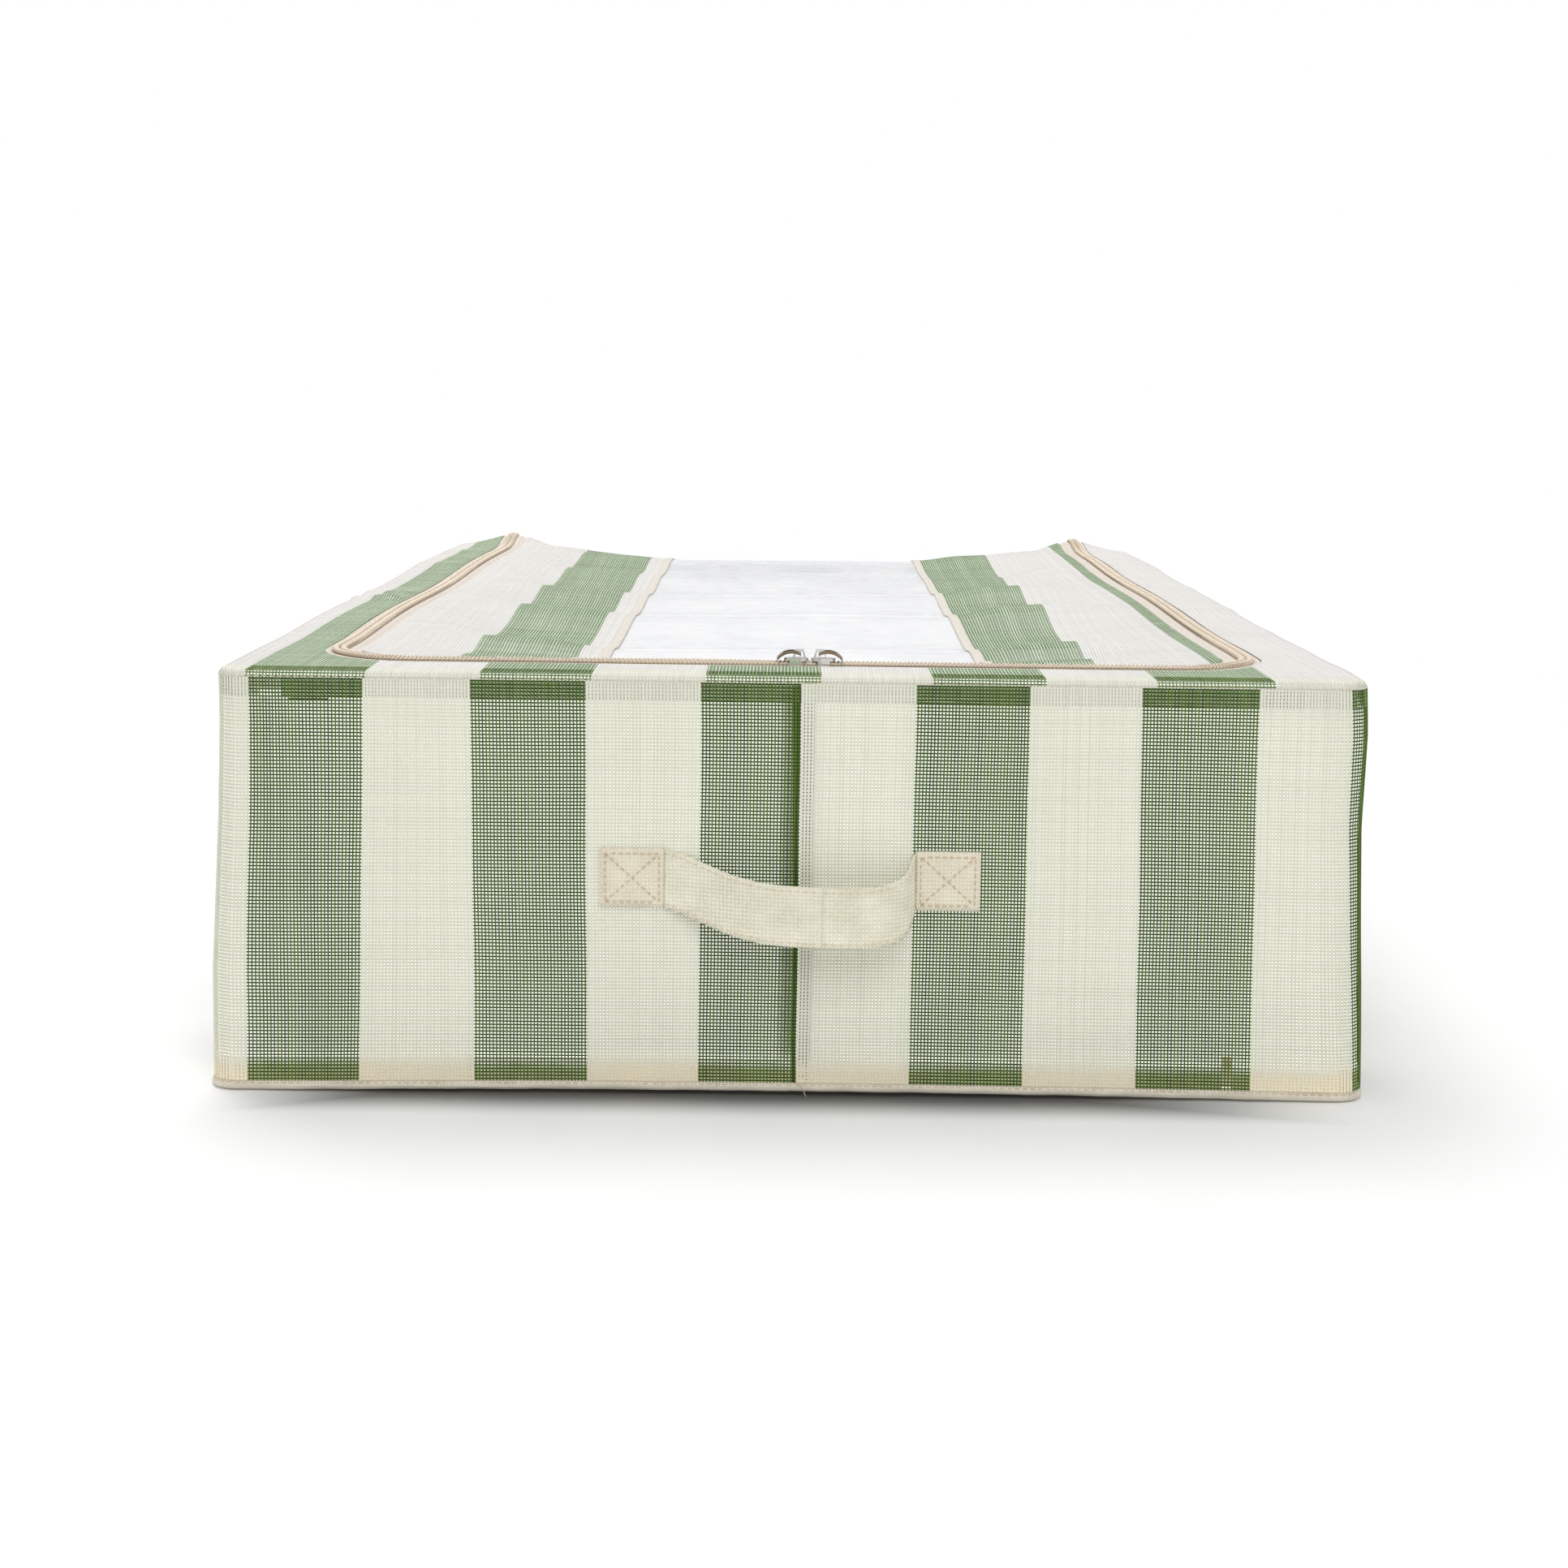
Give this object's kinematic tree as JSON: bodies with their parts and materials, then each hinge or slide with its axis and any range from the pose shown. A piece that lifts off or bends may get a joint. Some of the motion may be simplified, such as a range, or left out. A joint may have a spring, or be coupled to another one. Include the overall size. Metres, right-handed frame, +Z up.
{
  "type": "under bed box",
  "caption": "Low rectangular fabric storage box with striped mesh walls over stiff boards, a zipped lid with a clear window and a pull strap on the front.",
  "frame": {"origin": "centre of the underside, on the floor plane", "axes": "+X to the right seen from the handle side, +Y away from the handle towards the lid's hinge, +Z up"},
  "size_m": [0.5008, 0.8223, 0.1939],
  "materials": {
    "striped_mesh": "open plain-weave mesh with wide green and cream stripes",
    "canvas": "beige canvas",
    "webbing": "cream mesh webbing",
    "thread": "tan sewing thread",
    "zip_tape": "cream woven zip tape",
    "zip_coil": "cream nylon coil",
    "slider": "polished nickel",
    "pull": "antique brass",
    "board": "white faced board",
    "lining": "white non-woven lining",
    "clear_film": "clear soft vinyl",
    "label": "blank satin tab"
  },
  "bodies": {
    "box": {"base_panel": "canvas", "base_hem": "canvas", "base_board": "board", "base_lining": "lining", "wall_left": "striped_mesh", "wall_right": "striped_mesh", "left_board": "board", "right_board": "board", "front_left_board": "board", "front_right_board": "board", "back_left_board": "board", "back_right_board": "board", "lining_left": "lining", "lining_right": "lining", "blank_label": "label", "base_seam_thread": "thread", "top_seam_thread": "thread", "top_border": "striped_mesh", "zip_tape_outer": "zip_tape", "zip_coil_outer": "zip_coil", "zip_stop_left": "zip_tape", "zip_stop_right": "zip_tape", "hinge_tape": "canvas", "handle_end_left": "webbing", "handle_end_right": "webbing", "handle_thread_left": "thread", "handle_thread_right": "thread"},
    "lid": {"lid_panel": "striped_mesh", "lid_window": "clear_film", "window_binding": "canvas", "zip_tape_inner": "zip_tape", "zip_coil_inner": "zip_coil"},
    "slider_left": {"slider_left_body": "slider", "slider_left_crown": "slider"},
    "slider_right": {"slider_right_body": "slider", "slider_right_crown": "slider"},
    "pull_left": {"slider_left_pull": "pull"},
    "pull_right": {"slider_right_pull": "pull"},
    "handle": {"handle_strap": "webbing"}
  },
  "joints": [
    {"name": "lid_hinge", "type": "hinge", "parent": "box", "child": "lid", "pos_m": [0, 0.366, 0.1875], "axis": [-1, 0, 0], "range_deg": [0, 165]},
    {"name": "slider_left_travel", "type": "slide", "parent": "box", "child": "slider_left", "axis": [-1, 0, 0], "range_m": [0, 0.155]},
    {"name": "slider_right_travel", "type": "slide", "parent": "box", "child": "slider_right", "axis": [1, 0, 0], "range_m": [0, 0.145]},
    {"name": "pull_left_swing", "type": "hinge", "parent": "slider_left", "child": "pull_left", "pos_m": [0.0031, -0.359, 0.19195], "axis": [0, 1, 0], "range_deg": [0, 110]},
    {"name": "pull_right_swing", "type": "hinge", "parent": "slider_right", "child": "pull_right", "pos_m": [0.0121, -0.359, 0.19195], "axis": [0, -1, 0], "range_deg": [0, 110]},
    {"name": "handle_swing", "type": "hinge", "parent": "box", "child": "handle", "pos_m": [0, -0.4002, 0.1116], "axis": [-1, 0, 0], "range_deg": [0, 100]}
  ]
}
